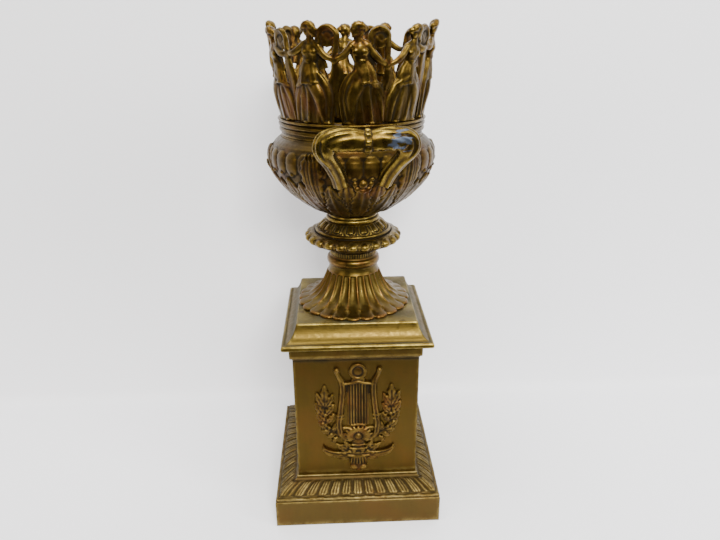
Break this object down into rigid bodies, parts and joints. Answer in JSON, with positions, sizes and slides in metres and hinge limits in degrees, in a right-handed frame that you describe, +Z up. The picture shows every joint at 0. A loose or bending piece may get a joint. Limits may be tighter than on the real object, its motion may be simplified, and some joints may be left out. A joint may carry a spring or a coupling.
{
  "type": "mantel urn",
  "caption": "Footed mantel urn with a ring of dancing figures for a rim and two handles, on a square plinth with a lyre relief; cast metal painted old bronze",
  "frame": {"origin": "middle of the underside of the plinth, at the level of the surface it stands on", "axes": "+Z up along the urn's axis, -Y towards the front with the lyre, +X to the viewer's right"},
  "size_m": [0.1422, 0.1804, 0.4105],
  "materials": {
    "plinth_base_finish": "bronze-gold paint over cast zinc, rubbed bright on the high parts and dark in the hollows",
    "plinth_die_finish": "bronze-gold paint over cast zinc, rubbed bright on the high parts and dark in the hollows",
    "plinth_cap_finish": "bronze-gold paint over cast zinc, rubbed bright on the high parts and dark in the hollows",
    "lyre_finish": "bronze-gold paint over cast zinc, rubbed bright on the high parts and dark in the hollows",
    "foot_finish": "bronze-gold paint over cast zinc, rubbed bright on the high parts and dark in the hollows",
    "knop_finish": "bronze-gold paint over cast zinc, rubbed bright on the high parts and dark in the hollows",
    "bowl_finish": "bronze-gold paint over cast zinc, rubbed bright on the high parts and dark in the hollows",
    "crown_finish": "bronze-gold paint over cast zinc, rubbed bright on the high parts and dark in the hollows",
    "handle_finish": "bronze-gold paint over cast zinc, rubbed bright on the high parts and dark in the hollows"
  },
  "bodies": {
    "root": {"plinth_base": "plinth_base_finish", "plinth_die": "plinth_die_finish", "plinth_cap": "plinth_cap_finish", "lyre_mount": "lyre_finish", "foot": "foot_finish", "knop": "knop_finish", "bowl": "bowl_finish", "rim_gallery": "crown_finish", "handle_front": "handle_finish", "handle_back": "handle_finish"}
  },
  "joints": []
}
